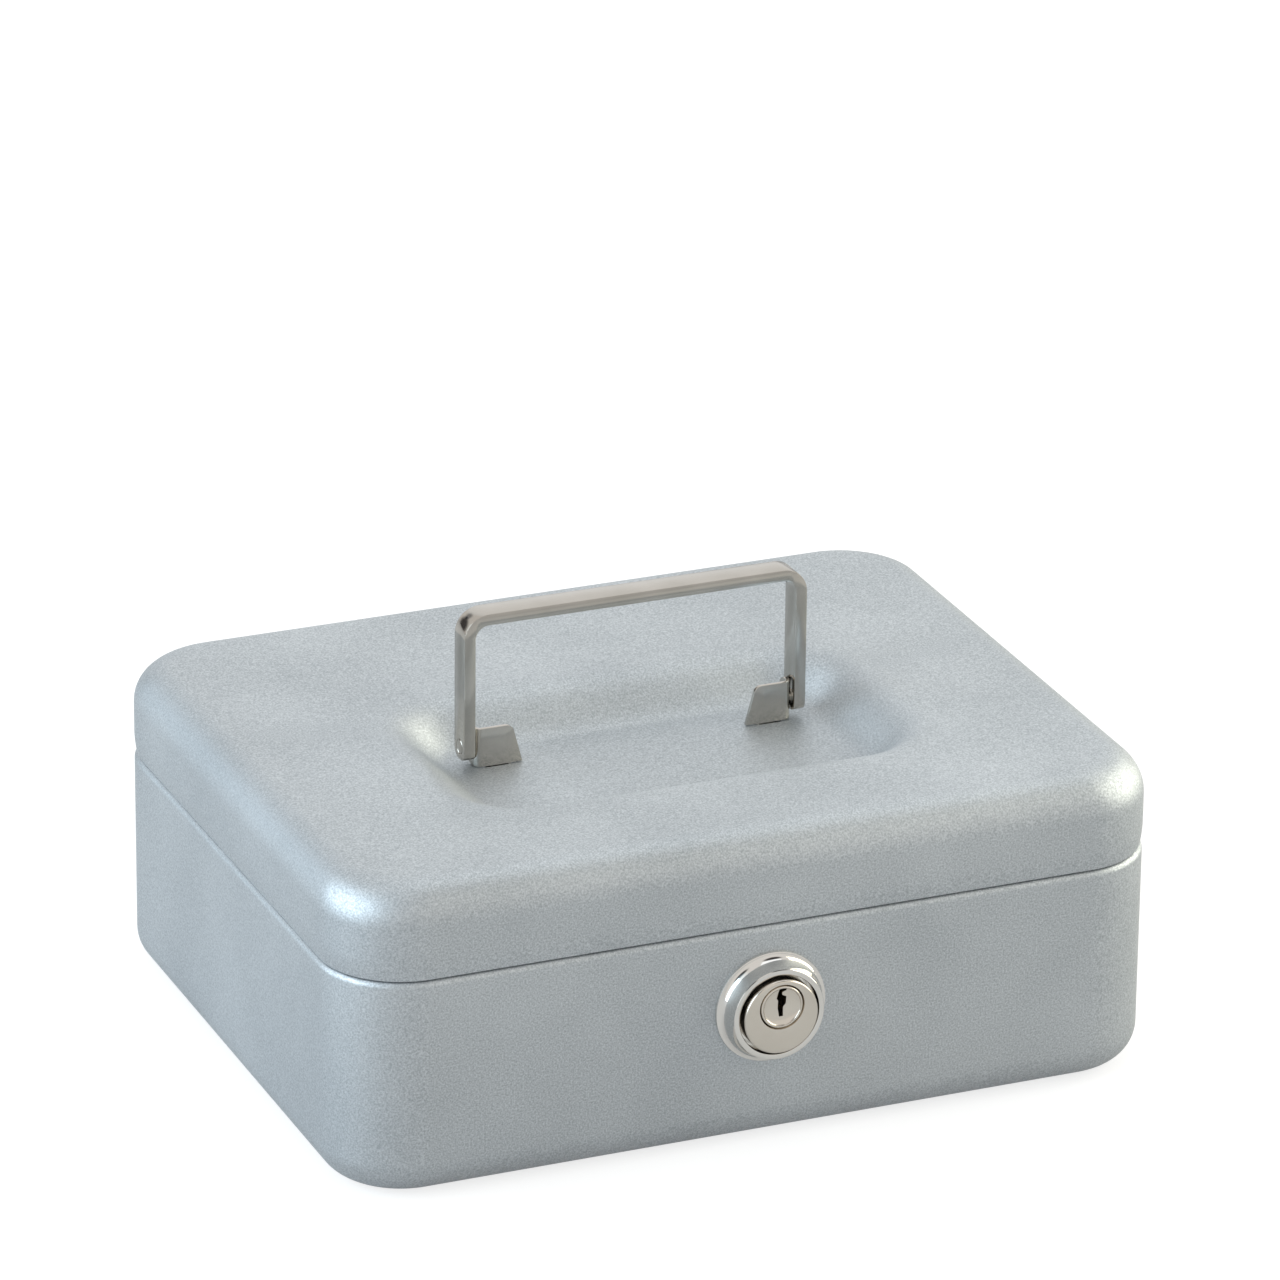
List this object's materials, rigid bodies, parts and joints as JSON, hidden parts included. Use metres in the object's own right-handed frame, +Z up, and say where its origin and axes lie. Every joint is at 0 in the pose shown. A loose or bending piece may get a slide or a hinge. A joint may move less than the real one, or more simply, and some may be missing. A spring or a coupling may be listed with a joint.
{
  "type": "lockable cash box",
  "caption": "Small lockable steel cash box with hinged lid, folding strap handle in a recess, front cylinder lock and lift-out coin tray.",
  "frame": {"origin": "middle of the bottom face, under the middle of the sheet-metal shells", "axes": "+X to the right along the width, +Y to the hinges at the back, +Z up; the lock faces -Y"},
  "size_m": [0.255, 0.2128, 0.133],
  "materials": {
    "silver_paint": "fine textured silver powder coat",
    "nickel_strip": "satin nickel plate",
    "lock_chrome": "polished nickel plate",
    "lock_nickel": "nickel plate",
    "zinc": "zinc plate",
    "brass": "turned brass",
    "black_plastic": "moulded matt black"
  },
  "bodies": {
    "base": {"base_shell": "silver_paint", "lock_rosette": "lock_chrome", "lock_housing": "lock_nickel", "lock_nut": "zinc", "driver_pins": "brass", "pin_springs": "zinc", "chamber_cover": "brass", "base_hinge_leaf_left": "zinc", "base_hinge_leaf_right": "zinc", "hinge_pin_left": "zinc", "hinge_pin_right": "zinc", "tray_ledge_left": "zinc", "tray_ledge_right": "zinc"},
    "lid": {"lid_shell": "silver_paint", "handle_bracket_left": "nickel_strip", "handle_bracket_right": "nickel_strip", "handle_pivot_left": "nickel_strip", "handle_pivot_right": "nickel_strip", "strike_plate": "zinc", "lid_hinge_leaf_left": "zinc", "lid_hinge_leaf_right": "zinc"},
    "handle": {"handle_bail": "nickel_strip"},
    "plug": {"lock_plug": "lock_nickel", "key_pins": "brass", "lock_cam": "zinc", "cam_screw": "zinc"},
    "tray": {"coin_tray": "black_plastic", "tray_pocket_left": "black_plastic", "tray_pocket_middle": "black_plastic", "tray_pocket_right": "black_plastic"}
  },
  "joints": [
    {"name": "lid_hinge", "type": "hinge", "parent": "base", "child": "lid", "pos_m": [0, 0.1009, 0.068], "axis": [-1, 0, 0], "range_deg": [0, 100]},
    {"name": "handle_pivot", "type": "hinge", "parent": "lid", "child": "handle", "pos_m": [0, 0.00175, 0.091], "axis": [1, 0, 0], "range_deg": [-64, 90]},
    {"name": "key_turn", "type": "hinge", "parent": "base", "child": "plug", "pos_m": [0.0008, -0.1, 0.0462], "axis": [0, 1, 0], "range_deg": [0, 90]},
    {"name": "tray_lift", "type": "slide", "parent": "base", "child": "tray", "axis": [0, 0, 1], "range_m": [0, 0.014]}
  ]
}
